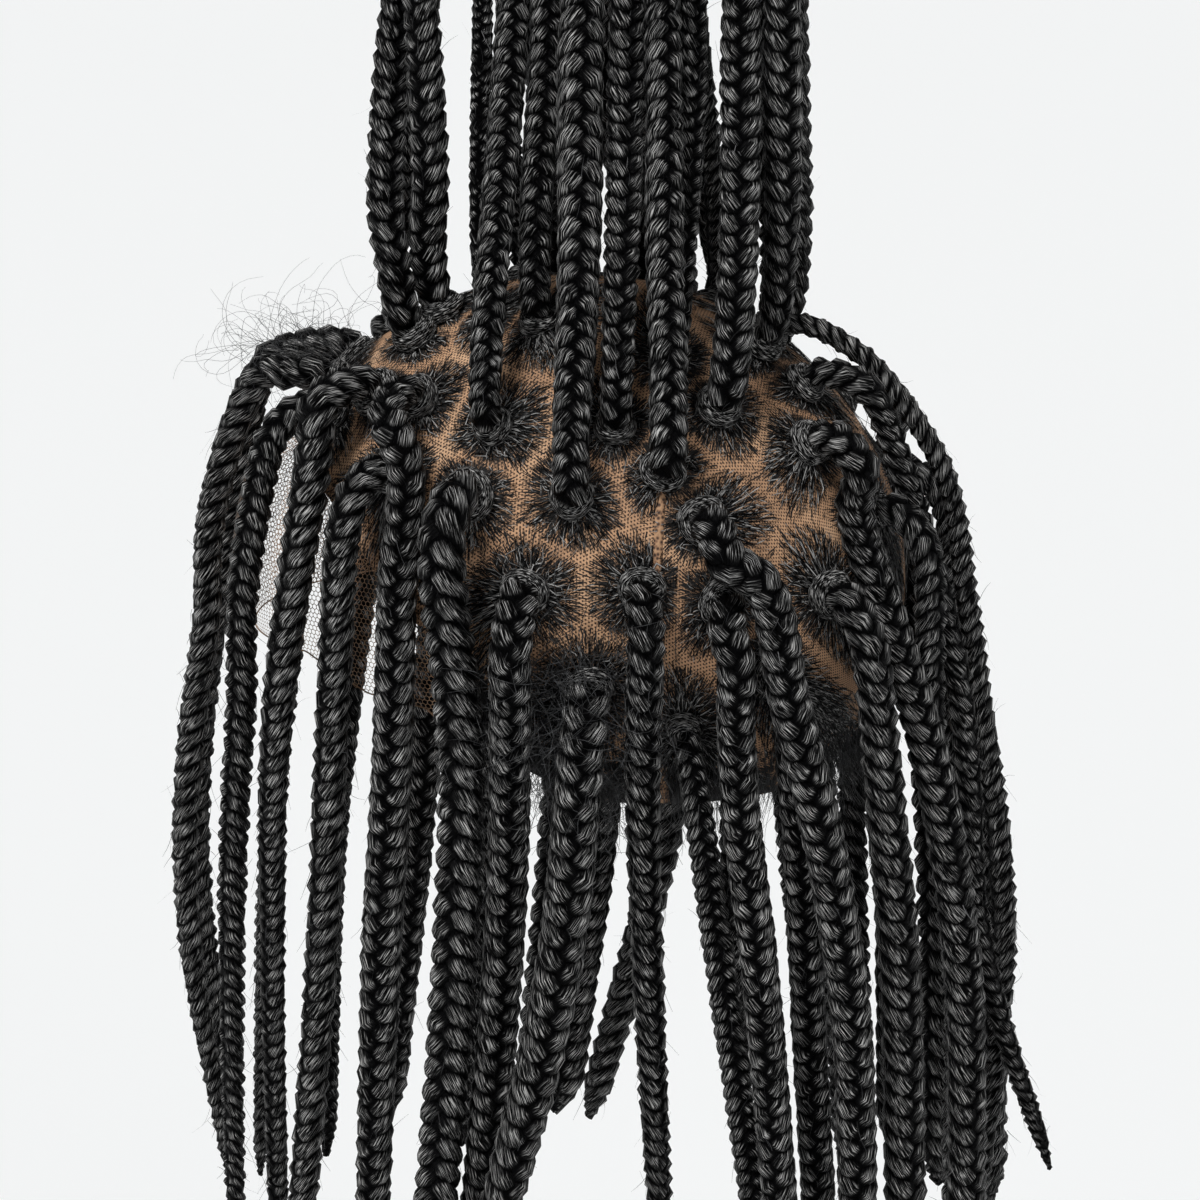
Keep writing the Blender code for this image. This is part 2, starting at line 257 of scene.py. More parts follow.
def smooth_curve(controls, values, step):
    """A smooth curve through the controls at an even step, with the values carried along it."""
    ends = np.vstack([2 * controls[0] - controls[1], controls, 2 * controls[-1] - controls[-2]])
    knots = np.concatenate([[0.0], np.cumsum(np.sqrt(np.linalg.norm(np.diff(ends, axis=0), axis=1)))])
    t = np.linspace(0.0, 1.0, 16, endpoint=False)[:, None]
    points, carried = [], []
    for k in range(1, len(ends) - 2):
        slopes = []
        for m in (k, k + 1):
            before = (ends[m] - ends[m - 1]) / (knots[m] - knots[m - 1])
            after = (ends[m + 1] - ends[m]) / (knots[m + 1] - knots[m])
            across = (ends[m + 1] - ends[m - 1]) / (knots[m + 1] - knots[m - 1])
            slopes.append((before - across + after) * (knots[k + 1] - knots[k]))
        start = (2 * t**3 - 3 * t**2 + 1) * ends[k] + (t**3 - 2 * t**2 + t) * slopes[0]
        points.append(start + (3 * t**2 - 2 * t**3) * ends[k + 1] + (t**3 - t**2) * slopes[1])
        carried.append(values[k - 1] * (1 - t[:, 0]) + values[k] * t[:, 0])
    points = np.vstack(points + [controls[-1:]])
    carried = np.concatenate(carried + [values[-1:]])
    distance = np.concatenate([[0.0], np.cumsum(np.linalg.norm(np.diff(points, axis=0), axis=1))])
    places = np.linspace(0.0, distance[-1], int(distance[-1] / step))
    even = np.stack([np.interp(places, distance, points[:, k]) for k in range(3)], axis=1)
    return even, np.interp(places, distance, carried), places


# Making pieces


def new_piece(name, vertices, faces, material, replaces=(), uv=None, crest=None):
    """A mesh piece from points in millimetres, riding on the wig.

    uv runs across and along the fibres. crest is about 1 on top of strands and less in the grooves, and
    sets the plait material's painted highlights and painted shade.
    """
    mesh = bpy.data.meshes.new(name)
    mesh.from_pydata((np.asarray(vertices) * MM).tolist(), [], np.asarray(faces).tolist())
    mesh.polygons.foreach_set("use_smooth", [True] * len(mesh.polygons))
    if uv is not None:
        # Pieces without a crest get the painted highlights of a strand's top
        height = np.ones(len(uv)) if crest is None else crest
        corners = np.empty(len(mesh.loops), dtype=np.int32)
        mesh.loops.foreach_get("vertex_index", corners)
        for layer_name, values in (("fibre", uv), ("crest", np.stack([height, height], -1))):
            layer = mesh.uv_layers.new(name=layer_name)
            layer.data.foreach_set("uv", np.asarray(values)[corners].ravel().astype(np.float32))
    mesh.materials.append(material)
    mesh.update()
    piece = bpy.data.objects.new(name, mesh)
    bpy.context.scene.collection.objects.link(piece)
    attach(piece, "root")
    if replaces:
        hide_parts(*replaces)
    return piece


def join_parts(parts):
    """Vertices, faces and fibre coordinates of several parts as one."""
    vertices, faces, uvs, count = [], [], [], 0
    for part_vertices, part_faces, part_uv in parts:
        vertices.append(part_vertices)
        faces.append(part_faces + count)
        uvs.append(part_uv)
        count += len(part_vertices)
    return np.vstack(vertices), np.vstack(faces), np.vstack(uvs)


def grid_faces(rows, columns, closed):
    """Quads between the points of a grid, row by row; closed joins the last column to the first."""
    steps = columns if closed else columns - 1
    row, column = np.meshgrid(np.arange(rows - 1), np.arange(steps), indexing="ij")
    after = (column + 1) % columns
    quads = [row * columns + column, row * columns + after, (row + 1) * columns + after]
    return np.stack(quads + [(row + 1) * columns + column], axis=-1).reshape(-1, 4)


def hair_ribbons(paths, sides, widths, lengths):
    """Flat fine hairs: paths is hairs x points, sides is the way each is wide, widths is at each point."""
    hairs, points = paths.shape[:2]
    half = sides * (widths / 2.0)[..., None]
    vertices = np.stack([paths - half, paths + half], axis=2).reshape(-1, 3)
    base = (np.arange(hairs) * points * 2)[:, None] + np.arange(points - 1)[None, :] * 2
    faces = np.stack([base, base + 1, base + 3, base + 2], axis=-1).reshape(-1, 4)
    # These fibre coordinates change little on a hair, so that each has one shade
    along = np.broadcast_to(np.linspace(0.0, 0.3, points)[None, :] * lengths[:, None], (hairs, points))
    across = np.broadcast_to((np.arange(hairs) * 3.7)[:, None], (hairs, points))
    uv = np.stack([np.stack([across, along], -1), np.stack([across + 0.08, along], -1)], axis=2)
    return vertices, faces, uv.reshape(-1, 2)


def hair_wires(paths, radii):
    """Round fine hairs with three sides."""
    hairs, points = paths.shape[:2]
    along = unit(np.gradient(paths, axis=1))
    side = unit(np.cross(along, UP + 0.3 * np.roll(UP, 1)))
    other = np.cross(along, side)
    corners = []
    for corner in range(3):
        angle = 2.0 * math.pi * corner / 3.0
        corners.append(paths + (side * math.cos(angle) + other * math.sin(angle)) * radii[..., None])
    vertices = np.stack(corners, axis=2).reshape(-1, 3)
    faces = grid_faces(points, 3, True)
    faces = (faces[None] + (np.arange(hairs) * points * 3)[:, None, None]).reshape(-1, 4)
    return vertices, faces, np.zeros((len(vertices), 2))


# Materials


def add_node(tree, kind, settings=(), links=()):
    """Adds one node, sets its properties and sockets by name, and links other nodes' outputs into it."""
    node = tree.nodes.new(kind)
    for name, value in dict(settings).items():
        if hasattr(node, name):
            setattr(node, name, value)
        else:
            node.inputs[name].default_value = value
    for name, output in dict(links).items():
        tree.links.new(output, node.inputs[name])
    return node


def new_material(name):
    material = bpy.data.materials.new(name)
    material.use_nodes = True
    tree = material.node_tree
    return material, tree, tree.nodes["Principled BSDF"]


def colour_ramp(tree, value, stops):
    """Colours at places between 0 and 1, driven by a value."""
    node = add_node(tree, "ShaderNodeValToRGB", links={"Fac": value})
    ramp = node.color_ramp
    while len(ramp.elements) < len(stops):
        ramp.elements.new(0.5)
    for element, (place, colour) in zip(ramp.elements, stops):
        element.position = place
        element.color = linear(colour)
    return node.outputs["Color"]


def crimped_modacrylic():
    """Modacrylic braiding fibre, crimped and combed: near black, with short pale streaks along it painted
    as the fibres' highlights, and painted shade in the grooves between strands.
    """
    material, tree, shader = new_material("crimped_modacrylic")
    place = add_node(tree, "ShaderNodeUVMap", {"uv_map": "fibre"})
    # Fibres are under 0.1 mm: drawn as streaks of about 0.3 mm by 2.5 mm, so that they show
    noises = []
    for across, along, detail in ((3.2, 0.42, 1.5), (0.6, 0.16, 1.0)):
        stretched = add_node(
            tree, "ShaderNodeMapping", {"Scale": (across, along, 1.0)}, {"Vector": place.outputs["UV"]}
        )
        noise = add_node(
            tree, "ShaderNodeTexNoise",
            {"noise_dimensions": "2D", "Scale": 1.0, "Detail": detail, "Roughness": 0.6, "Distortion": 0.2},
            {"Vector": stretched.outputs["Vector"]},
        )
        noises.append(noise.outputs["Fac"])
    streaks, locks = noises
    # The pale end of these streaks is painted highlight: the fibres' glints, drawn into the colour
    colour = colour_ramp(
        tree, streaks, ((0.44, "#010101"), (0.50, "#0b0b0b"), (0.56, "#525252"), (0.66, "#c8c7c5"))
    )
    # Painted shade: the colour goes to near black in the grooves between strands, where little light comes
    # out, and the painted highlights show only on the crests
    crest = add_node(tree, "ShaderNodeUVMap", {"uv_map": "crest"})
    height = add_node(tree, "ShaderNodeSeparateXYZ", links={"Vector": crest.outputs["UV"]})
    lit = add_node(
        tree, "ShaderNodeMapRange",
        {"interpolation_type": "SMOOTHSTEP", "From Min": 0.80, "From Max": 1.03},
        {"Value": height.outputs["X"]},
    )
    shaded = add_node(tree, "ShaderNodeMix", {"data_type": "RGBA"}, {"Factor": lit.outputs["Result"]})
    shaded.inputs["A"].default_value = linear("#020203")
    tree.links.new(colour, shaded.inputs["B"])
    tree.links.new(shaded.outputs["Result"], shader.inputs["Base Color"])
    fine = add_node(tree, "ShaderNodeBump", {"Strength": 1.0, "Distance": 0.0008}, {"Height": streaks})
    broad = add_node(
        tree, "ShaderNodeBump", {"Strength": 0.5, "Distance": 0.0012},
        {"Height": locks, "Normal": fine.outputs["Normal"]},
    )
    tree.links.new(broad.outputs["Normal"], shader.inputs["Normal"])
    shader.inputs["Roughness"].default_value = 0.45
    shader.inputs["IOR"].default_value = 1.5
    shader.inputs["Specular IOR Level"].default_value = 0.06
    return material


def loose_modacrylic():
    """Single modacrylic fibres pulled out of the plaits: thin, dark and slightly shiny."""
    material, tree, shader = new_material("loose_modacrylic")
    place = add_node(tree, "ShaderNodeTexCoord")
    # Painted sheen: fibres pass from dark to paler about every 4 mm, as if they turned in the light
    noise = add_node(
        tree, "ShaderNodeTexNoise", {"Scale": 260.0, "Detail": 1.0}, {"Vector": place.outputs["Object"]}
    )
    colour = colour_ramp(tree, noise.outputs["Fac"], ((0.40, "#060607"), (0.66, "#47484a")))
    tree.links.new(colour, shader.inputs["Base Color"])
    shader.inputs["Roughness"].default_value = 0.42
    shader.inputs["IOR"].default_value = 1.5
    return material


def net_holes(tree, pitch_mm):
    """A hexagonal net's holes, from 0 on the threads to 1 in the holes."""
    place = add_node(tree, "ShaderNodeUVMap", {"uv_map": "fibre"})
    split = add_node(tree, "ShaderNodeSeparateXYZ", links={"Vector": place.outputs["UV"]})
    total = None
    for turn in (0.0, 60.0, 120.0):
        angle = math.radians(turn)
        step = 2.0 * math.pi / (pitch_mm * 0.866)
        slant = add_node(tree, "ShaderNodeMath", {"operation": "MULTIPLY"}, {"Value": split.outputs["X"]})
        slant.inputs[1].default_value = math.sin(angle) * step
        phase = add_node(
            tree, "ShaderNodeMath", {"operation": "MULTIPLY_ADD"}, {"Value": split.outputs["Y"]}
        )
        phase.inputs[1].default_value = math.cos(angle) * step
        tree.links.new(slant.outputs["Value"], phase.inputs[2])
        wave = add_node(tree, "ShaderNodeMath", {"operation": "COSINE"}, {"Value": phase.outputs["Value"]})
        if total is None:
            total = wave.outputs["Value"]
        else:
            both = add_node(tree, "ShaderNodeMath", {"operation": "ADD"}, {"Value": total})
            tree.links.new(wave.outputs["Value"], both.inputs[1])
            total = both.outputs["Value"]
    holes = add_node(tree, "ShaderNodeMapRange", {"From Min": 0.2, "From Max": 2.0}, {"Value": total})
    return holes.outputs["Result"]


def knotted_lace():
    """Nylon lace dyed tan over a tan lining: matt, dark dots in its holes, crossed by fine knotted hair."""
    material, tree, shader = new_material("knotted_nylon_lace")
    place = add_node(tree, "ShaderNodeTexCoord")
    # The dye is uneven, in patches of about 18 mm
    patch = add_node(
        tree, "ShaderNodeTexNoise", {"Scale": 55.0, "Detail": 4.0}, {"Vector": place.outputs["Object"]}
    )
    ground = colour_ramp(
        tree, patch.outputs["Fac"], ((0.30, "#a98364"), (0.50, "#c79c78"), (0.70, "#d8b08c"))
    )
    # The lace's 0.8 mm mesh is drawn at 1.1 mm so that it shows
    holes = net_holes(tree, 1.1)
    netted = add_node(tree, "ShaderNodeMix", {"data_type": "RGBA"}, {"Factor": holes})
    netted.inputs["B"].default_value = linear("#33231a")
    tree.links.new(ground, netted.inputs["A"])
    # Hair under 0.1 mm, drawn as strokes of about 0.3 mm by 5 mm that run to the root
    fan = add_node(tree, "ShaderNodeUVMap", {"uv_map": "fan"})
    stretched = add_node(
        tree, "ShaderNodeMapping", {"Scale": (3.1, 0.20, 1.0)}, {"Vector": fan.outputs["UV"]}
    )
    strokes = add_node(
        tree, "ShaderNodeTexNoise",
        {"noise_dimensions": "2D", "Scale": 1.0, "Detail": 2.0, "Roughness": 0.6},
        {"Vector": stretched.outputs["Vector"]},
    )
    # The strokes close up within 19 mm of a root and 24 mm of the edge, and thin out by a parting
    cover = strokes.outputs["Fac"]
    shifts = (
        ("fan", "Y", (6.0, 19.0), (0.20, 0.0)),
        ("parting", "X", (0.5, 5.0), (-0.16, 0.0)),
        ("parting", "Y", (6.0, 24.0), (0.30, 0.0)),
    )
    for layer, axis, reach, change in shifts:
        measure = add_node(tree, "ShaderNodeUVMap", {"uv_map": layer})
        split = add_node(tree, "ShaderNodeSeparateXYZ", links={"Vector": measure.outputs["UV"]})
        shift = add_node(
            tree, "ShaderNodeMapRange",
            {"From Min": reach[0], "From Max": reach[1], "To Min": change[0], "To Max": change[1]},
            {"Value": split.outputs[axis]},
        )
        both = add_node(tree, "ShaderNodeMath", {"operation": "ADD"}, {"Value": cover})
        tree.links.new(shift.outputs["Result"], both.inputs[1])
        cover = both.outputs["Value"]
    hair = add_node(tree, "ShaderNodeMapRange", {"From Min": 0.47, "From Max": 0.56}, {"Value": cover})
    haired = add_node(tree, "ShaderNodeMix", {"data_type": "RGBA"}, {"Factor": hair.outputs["Result"]})
    haired.inputs["B"].default_value = linear("#0d0b0b")
    tree.links.new(netted.outputs["Result"], haired.inputs["A"])
    tree.links.new(haired.outputs["Result"], shader.inputs["Base Color"])
    bump = add_node(
        tree, "ShaderNodeBump", {"Strength": 0.6, "Distance": 0.0003, "invert": True}, {"Height": holes}
    )
    tree.links.new(bump.outputs["Normal"], shader.inputs["Normal"])
    shader.inputs["Roughness"].default_value = 0.8
    return material


def sheer_net():
    """Fine nylon net, dyed brown: threads only, with a slight shine."""
    material, tree, shader = new_material("sheer_nylon_net")
    place = add_node(tree, "ShaderNodeTexCoord")
    noise = add_node(
        tree, "ShaderNodeTexNoise", {"Scale": 90.0, "Detail": 2.0}, {"Vector": place.outputs["Object"]}
    )
    colour = colour_ramp(tree, noise.outputs["Fac"], ((0.35, "#8d6c52"), (0.65, "#b08d6e")))
    tree.links.new(colour, shader.inputs["Base Color"])
    shader.inputs["Roughness"].default_value = 0.5
    return material


def folded_seam():
    """The same lace folded double and sewn: a matt tan strip, its holes left as dark pits 1.1 mm apart."""
    material, tree, shader = new_material("folded_lace_seam")
    place = add_node(tree, "ShaderNodeTexCoord")
    weave = add_node(
        tree, "ShaderNodeTexVoronoi", {"feature": "F1", "Scale": 900.0}, {"Vector": place.outputs["Object"]}
    )
    colour = colour_ramp(
        tree, weave.outputs["Distance"], ((0.28, "#3b2a20"), (0.50, "#8a684f"), (0.72, "#b48d6b"))
    )
    tree.links.new(colour, shader.inputs["Base Color"])
    bump = add_node(
        tree, "ShaderNodeBump", {"Strength": 0.6, "Distance": 0.0003}, {"Height": weave.outputs["Distance"]}
    )
    tree.links.new(bump.outputs["Normal"], shader.inputs["Normal"])
    shader.inputs["Roughness"].default_value = 0.8
    return material


def woven_elastic():
    """Braided polyester elastic, black: matt, with slanting ribs."""
    material, tree, shader = new_material("braided_polyester_elastic")
    place = add_node(tree, "ShaderNodeTexCoord")
    # Ribs about 2 mm apart
    ribs = add_node(
        tree, "ShaderNodeTexWave", {"Scale": 320.0, "Distortion": 1.5, "bands_direction": "DIAGONAL"},
        {"Vector": place.outputs["Object"]},
    )
    colour = colour_ramp(tree, ribs.outputs["Fac"], ((0.2, "#09090a"), (0.9, "#242427")))
    tree.links.new(colour, shader.inputs["Base Color"])
    bump = add_node(
        tree, "ShaderNodeBump", {"Strength": 0.7, "Distance": 0.0004}, {"Height": ribs.outputs["Fac"]}
    )
    tree.links.new(bump.outputs["Normal"], shader.inputs["Normal"])
    shader.inputs["Roughness"].default_value = 0.7
    return material


# Plaits


def carried_frame(points, first_side):
    """Side and depth directions carried along a line without twisting."""
    along = unit(np.gradient(points, axis=0))
    side = first_side - along[0] * (first_side @ along[0])
    sides = [side / np.linalg.norm(side)]
    for k in range(1, len(points)):
        side = sides[-1] - along[k] * (sides[-1] @ along[k])
        sides.append(side / np.linalg.norm(side))
    sides = np.array(sides)
    return along, sides, np.cross(along, sides)


def plait_strands(points, radii, distance, first_side, random):
    """The three strands of one plait as tubes, and how far out of the plait each of their points lies."""
    _, side, deep = carried_frame(points, first_side)
    facing = random.choice([0.0, math.pi]) + random.uniform(-0.5, 0.5)
    twist = facing + random.uniform(-0.6, 0.6) * distance / distance[-1]
    turned = side * np.cos(twist)[:, None] + deep * np.sin(twist)[:, None]
    deep = deep * np.cos(twist)[:, None] - side * np.sin(twist)[:, None]
    side = turned
    steps = np.gradient(distance)
    pattern = PATTERN_PER_WIDTH * 2.0 * np.maximum(radii, NARROWEST_PATTERN)
    phase = np.cumsum(2.0 * math.pi * steps / pattern)
    phase += random.uniform(0.0, 2.0 * math.pi)
    angles = 2.0 * math.pi * np.arange(STRAND_SIDES) / STRAND_SIDES
    parts, crests = [], []
    for strand in range(STRANDS):
        turn = phase + 2.0 * math.pi * strand / STRANDS
        sway = (SWING_SIDEWAYS * np.sin(turn) * radii)[:, None]
        dip = (SWING_DEEP * np.sin(2.0 * turn) * radii)[:, None]
        centre = points + side * sway + deep * dip
        run = unit(np.gradient(centre, axis=0))
        thin = unit(deep - run * (deep * run).sum(1, keepdims=True))
        wide = np.cross(thin, run)
        swell = 1.0 + 0.10 * np.cos(2.0 * turn + 0.4)
        clumps = np.ones((len(points), STRAND_SIDES))
        for _ in range(4):
            beat = random.uniform(0.05, 0.35, STRAND_SIDES)
            start = random.uniform(0.0, 6.28, STRAND_SIDES)
            clumps += 0.022 * np.sin(distance[:, None] * beat + start)
        half_wide = (STRAND_HALF_WIDTH * radii * swell)[:, None, None]
        half_thin = (STRAND_HALF_DEPTH * radii)[:, None, None]
        ring = wide[:, None] * half_wide * np.cos(angles)[None, :, None]
        ring = ring + thin[:, None] * half_thin * np.sin(angles)[None, :, None]
        vertices = (centre[:, None] + ring * clumps[..., None]).reshape(-1, 3)
        faces = grid_faces(len(points), STRAND_SIDES, True)
        # How far out of the plait each point lies, which sets the painted shade in the grooves and the
        # painted highlights on top
        off_line = centre[:, None] + ring - points[:, None]
        sideways = (off_line * side[:, None]).sum(-1) / radii[:, None]
        depth = (off_line * deep[:, None]).sum(-1) / radii[:, None]
        shares = sideways / (SWING_SIDEWAYS + STRAND_HALF_WIDTH), depth / (SWING_DEEP + STRAND_HALF_DEPTH)
        crests.append(np.hypot(*shares).ravel())
        # Fibre coordinates start anywhere, so that no two strands look the same
        around = np.minimum(angles, 2.0 * math.pi - angles) * STRAND_HALF_WIDTH * radii.mean() * 1.1
        around = around + 40.0 * strand + random.uniform(0, 500)
        u = np.broadcast_to(around[None, :], (len(points), STRAND_SIDES))
        v = np.broadcast_to(distance[:, None], (len(points), STRAND_SIDES))
        parts.append((vertices, faces, np.stack([u, v], -1).reshape(-1, 2)))
    return parts, np.concatenate(crests)


def plait_fuzz(points, radii, distance, random):
    """Short fibres that stand off a plait's surface, swept along it."""
    count = int(FUZZ_PER_MM * distance[-1])
    along, side, deep = carried_frame(points, np.array([1.0, 0.2, 0.1]))
    index = random.integers(2, len(points) - 2, count)
    angle = random.uniform(0.0, 2.0 * math.pi, count)
    out = side[index] * np.cos(angle)[:, None] + deep[index] * np.sin(angle)[:, None]
    sign = random.choice([-1.0, 1.0], count, p=[0.25, 0.75])[:, None]
    sweep = unit(along[index] * sign + out * random.uniform(0.1, 0.6, count)[:, None])
    sweep = unit(sweep + random.normal(0.0, 0.25, (count, 3)))
    length = random.uniform(*FUZZ_LENGTHS, count)
    share = np.linspace(0.0, 1.0, len(FUZZ_WIDTHS))[None, :, None]
    start = points[index] + out * (0.78 * radii[index])[:, None]
    bend = random.normal(0.0, 0.22, (count, 3)) - UP * 0.12
    paths = start[:, None] + (sweep * length[:, None])[:, None] * share
    paths = paths + (bend * length[:, None])[:, None] * share**2
    widths = np.broadcast_to(np.array(FUZZ_WIDTHS), (count, len(FUZZ_WIDTHS)))
    sides = unit(np.cross(sweep, random.normal(0.0, 1.0, (count, 3))))
    sides = np.broadcast_to(sides[:, None], paths.shape)
    return hair_ribbons(paths, sides, widths, length)


def make_plait(node, materials, seed):
    """One plait's strands, in place of the model's tube.

    Returns its fuzz, its root as place, way out and radius, and the strands' points.
    """
    random = np.random.default_rng(seed)
    controls, tube_radii = plait_line(node)
    points, radii, distance = smooth_curve(controls, tube_radii, STRAND_STEP)
    outward = unit(controls[1] - controls[0])
    across = unit(np.cross(unit(points[-1] - points[0]), outward) + random.normal(0.0, 0.25, 3))
    strands, crest = plait_strands(points, radii, distance, across, random)
    vertices, faces, uv = join_parts(strands)
    new_piece(node + "_strands", vertices, faces, materials["plait"], (node,), uv, crest)
    fuzz = plait_fuzz(points, radii, distance, random)
    return fuzz, (controls[0], outward, tube_radii[1]), vertices


# Lace


def net_place(directions):
    """Even coordinates for the lace's mesh over the sides and crown, in millimetres."""
    turn = np.arctan2(directions[..., 0], directions[..., 2])
    back = np.arcsin(np.clip(directions[..., 1], -1.0, 1.0))
    return np.stack([turn * 83.0 * (0.35 + 0.65 * np.cos(back)), back * 98.0], axis=-1)


def fan_place(corners, roots):
    """A face's corners seen from the root nearest to it: angle round the root, and distance from it."""
    middle = corners.mean(0)
    root, outward, _ = roots[int(np.argmin([np.linalg.norm(middle - root[0]) for root in roots]))]
    first = unit(np.cross(outward, UP + 0.01))
    second = np.cross(outward, first)
    angles = [math.atan2((point - root) @ second, (point - root) @ first) for point in (middle, *corners)]
    turns = [(angle - angles[0] + math.pi) % (2.0 * math.pi) - math.pi + angles[0] for angle in angles[1:]]
    return [(turn * STROKE_FAN, np.linalg.norm(point - root)) for turn, point in zip(turns, corners)]


def lace_ground(name, behind_seam, roots, material, node):
    """One side of the cap's knotted lace, as a closed wall with coordinates for its mesh and its hair."""
    around = np.linspace(-180.0, 180.0, GROUND_COLUMNS + 1)
    turn, part = np.meshgrid(around, np.linspace(0.0, 1.0, GROUND_ROWS), indexing="ij")
    limit = line_down(CAP_EDGE, turn) if behind_seam else line_down(HAIRLINE, turn)
    limit = np.where(np.abs(turn) > 90.0, line_down(CAP_EDGE, turn), limit)
    directions = cap_directions(turn, GROUND_START + (limit - GROUND_START) * part)
    inner, _ = on_cap(directions, np.full(turn.shape, 0.15))
    place = net_place(directions)
    reach = np.stack([np.linalg.norm(inner - root[0], axis=-1) for root in roots], axis=-1)
    reach.sort(axis=-1)
    parting = reach[..., 1] - reach[..., 0]
    from_edge = (limit - GROUND_START) * (1.0 - part) * EDGE_MM_PER_DEGREE
    from_edge = np.where(np.abs(turn) > TEMPLE, from_edge, FAR_FROM_EDGE)
    work = bmesh.new()
    layers = [work.loops.layers.uv.new(layer) for layer in ("fibre", "fan", "parting")]
    side = 1.0 if behind_seam else -1.0
    grid = [[work.verts.new(point * MM) for point in line] for line in inner[:-1]]
    grid.append(grid[0])
    for i in range(GROUND_COLUMNS):
        for j in range(GROUND_ROWS - 1):
            corners = ((i, j), (i, j + 1), (i + 1, j + 1), (i + 1, j))
            places = np.array([inner[a, b] for a, b in corners])
            if (places[:, 1] * side).max() < SEAM_BACK * side:
                continue
            face = work.faces.new([grid[a][b] for a, b in corners])
            face.smooth = True
            for loop, (a, b), fan in zip(face.loops, corners, fan_place(places, roots)):
                loop[layers[0]].uv = place[a, b]
                loop[layers[1]].uv = fan
                loop[layers[2]].uv = (parting[a, b], from_edge[a, b])
    if not behind_seam:
        work.faces.new([grid[i][0] for i in range(GROUND_COLUMNS)][::-1])
    bmesh.ops.delete(work, geom=[vertex for vertex in work.verts if not vertex.link_faces], context="VERTS")
    bmesh.ops.bisect_plane(
        work, geom=work.verts[:] + work.edges[:] + work.faces[:], dist=1e-6,
        plane_co=(0.0, SEAM_BACK * MM, 0.0), plane_no=(0.0, -side, 0.0), clear_outer=True,
    )
    bmesh.ops.recalc_face_normals(work, faces=work.faces)
    mesh = bpy.data.meshes.new(name)
    work.to_mesh(mesh)
    work.free()
    mesh.materials.append(material)
    piece = bpy.data.objects.new(name, mesh)
    bpy.context.scene.collection.objects.link(piece)
    wall = piece.modifiers.new("wall", "SOLIDIFY")
    wall.thickness = LACE_THICKNESS * MM
    wall.offset = 1.0
    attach(piece, "root")
    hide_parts(node)


def net_margin(material):
    """The sheer margin from the hairline to the untrimmed edge: a net with a real hole in every cell."""
    row, column = np.meshgrid(np.arange(-30, 60), np.arange(-90, 91), indexing="ij")
    around = (column + 0.5 * (row % 2)) * NET_PITCH / NET_MM_PER_DEGREE[0]
    down = NET_MIDDLE_DOWN + row * (NET_PITCH * 0.866) / NET_MM_PER_DEGREE[1]
    inside = (np.abs(around) < MARGIN_SPREAD) & (down > line_down(HAIRLINE, around) - 1.5)
    inside &= down < line_down(CAP_EDGE, around) + 0.3
    around, down = around[inside], down[inside]
    corner = np.radians(60.0 * np.arange(6) + 30.0)
    outer = NET_PITCH / math.sqrt(3.0)
    inner = outer - NET_THREAD / math.sqrt(3.0)
    vertices = []
    for size in (outer, inner):
        turn = around[:, None] + np.cos(corner)[None] * size / NET_MM_PER_DEGREE[0]
        fall = down[:, None] + np.sin(corner)[None] * size / NET_MM_PER_DEGREE[1]
        places, _ = on_cap(cap_directions(turn, fall), np.full(turn.shape, 0.6))
        vertices.append(places)
    cells = len(around)
    vertices = np.concatenate(vertices, axis=1).reshape(-1, 3)
    base = (np.arange(cells) * 12)[:, None]
    k = np.arange(6)[None, :]
    after = (k + 1) % 6
    faces = np.stack([base + k, base + after, base + 6 + after, base + 6 + k], axis=-1).reshape(-1, 4)
    piece = new_piece("sheer_front_margin", vertices, faces, material, ("front_lace_panel",))
    work = bmesh.new()
    work.from_mesh(piece.data)
    bmesh.ops.remove_doubles(work, verts=work.verts, dist=2e-5)
    work.to_mesh(piece.data)
    work.free()


def edge_cord(material):
    """The net's cut edge, rolled into a thin line."""
    around = np.linspace(-MARGIN_SPREAD, MARGIN_SPREAD, 160)
    path, _ = on_cap(cap_directions(around, line_down(CAP_EDGE, around)), np.full(len(around), 0.6))
    vertices, faces, _ = hair_wires(path[None], np.full((1, len(path)), EDGE_CORD_RADIUS))
    new_piece("front_margin_edge", vertices, faces, material)


def seam_ridge(material):
    """The seam's folded allowance: a low ridge from ear to ear over the crown."""
    angle = np.radians(np.linspace(-SEAM_SPREAD, SEAM_SPREAD, 180))
    height = math.sqrt(1.0 - (SEAM_BACK / CAP_HALF_LENGTH) ** 2)
    x = CAP_HALF_WIDTH * height * np.sin(angle)
    z = CAP_CROWN_HEIGHT * height * np.cos(angle) - CAP_CROWN_HEIGHT
    line = np.stack([x, np.full(len(x), SEAM_BACK), z], axis=-1)
    _, outward = on_cap(unit((line - CAP_CENTRE) / SEMI_AXES), np.zeros(len(line)))
    along = unit(np.gradient(line, axis=0))
    side = unit(np.cross(outward, along))
    rings = np.stack([line + side * across + outward * out for across, out in SEAM_SECTION], axis=1)
    faces = grid_faces(len(line), len(SEAM_SECTION), True)
    new_piece("crown_seam_fold", rings.reshape(-1, 3), faces, material)


# Hair knotted into the lace


def root_places(roots):
    """Each plait's root: its direction from the cap's centre, its place and its radius."""
    places = np.array([root[0] for root in roots])
    directions = unit((places - CAP_CENTRE) / SEMI_AXES)
    return directions, places, np.array([root[2] for root in roots])


